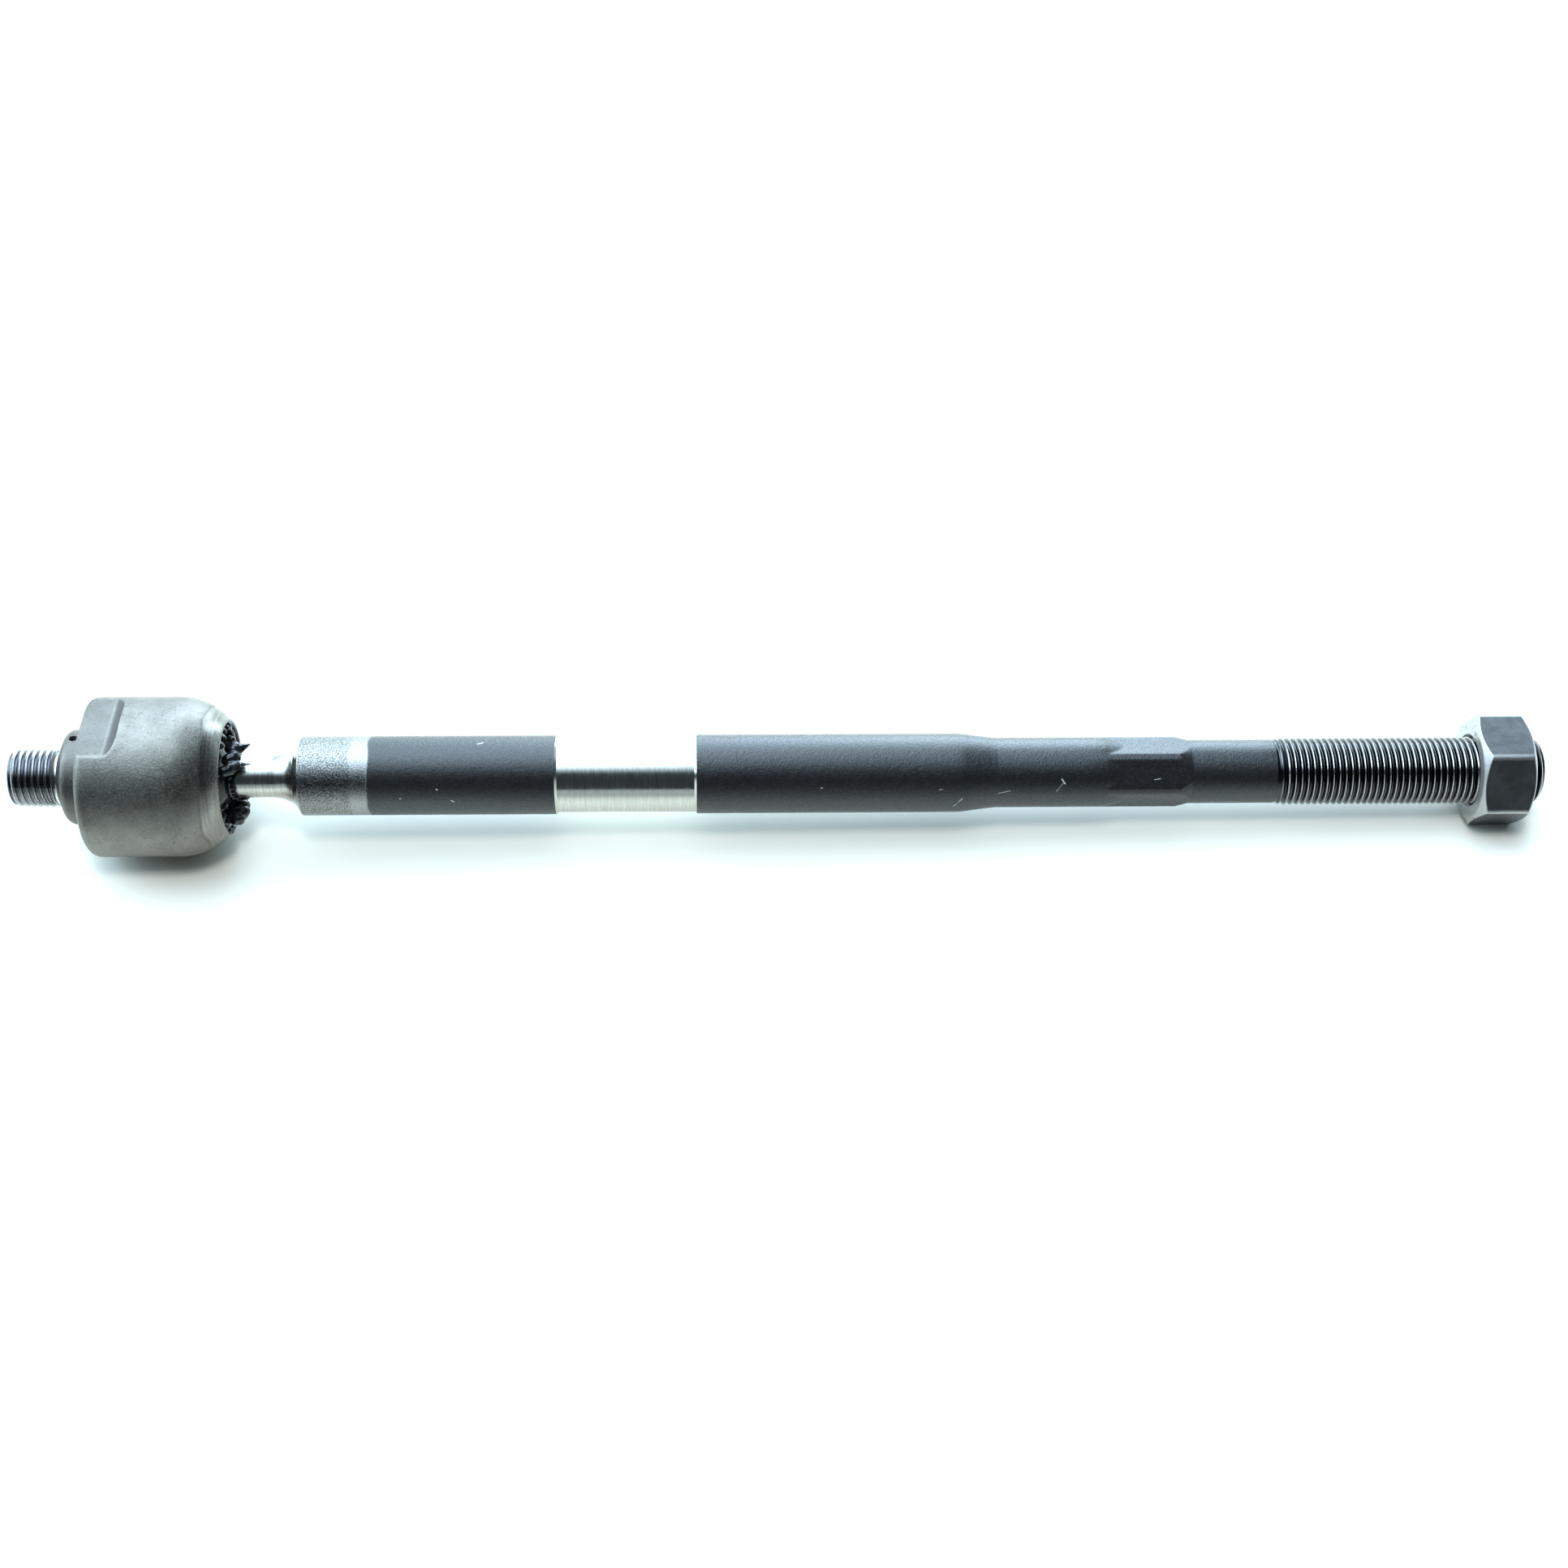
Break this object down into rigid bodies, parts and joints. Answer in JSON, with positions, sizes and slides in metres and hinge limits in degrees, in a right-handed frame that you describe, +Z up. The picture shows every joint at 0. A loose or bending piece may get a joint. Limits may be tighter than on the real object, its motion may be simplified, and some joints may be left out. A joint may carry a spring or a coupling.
{
  "type": "inner tie rod",
  "caption": "Steering inner tie rod: ball joint in a rolled socket housing with a rack stud, a rod with hexagon and threaded end, and a jam nut.",
  "frame": {"origin": "centre of the plane where the rack stud meets its shoulder, on the rod's axis", "axes": "+X along the rod from the rack stud towards the jam nut, +Z up as the part lies, 3 degrees from square to the wrench flats"},
  "size_m": [0.3605, 0.0374, 0.0375],
  "materials": {
    "housing_steel": "matt forged and phosphated steel, smoother where the rim is rolled",
    "seat_plastic": "natural moulded plastic",
    "rod_steel": "satin black coat, bare steel at the neck, the first stretch and the ground band",
    "nut_steel": "dark plain steel with lighter chamfers",
    "grease": "wet black grease"
  },
  "bodies": {
    "housing": {"housing": "housing_steel", "ball_seat": "seat_plastic", "grease_rim": "grease"},
    "mouth_grease": {"grease_above": "grease", "grease_below": "grease"},
    "neck_grease": {"grease_collar": "grease"},
    "rod": {"rod": "rod_steel"},
    "jam_nut": {"jam_nut": "nut_steel"}
  },
  "joints": [
    {"name": "swing", "type": "hinge", "parent": "housing", "child": "mouth_grease", "pos_m": [0.0275, 0, 0], "axis": [0, -1, 0], "range_deg": [-20, 20]},
    {"name": "sweep", "type": "hinge", "parent": "mouth_grease", "child": "neck_grease", "pos_m": [0.0275, 0, 0], "axis": [0, 0, 1], "range_deg": [-20, 20]},
    {"name": "rod_spin", "type": "hinge", "parent": "neck_grease", "child": "rod", "pos_m": [0.0275, 0, 0], "axis": [1, 0, 0], "continuous": true},
    {"name": "nut_travel", "type": "slide", "parent": "rod", "child": "jam_nut", "axis": [1, 0, 0], "range_m": [-0.045, 0.003]}
  ]
}
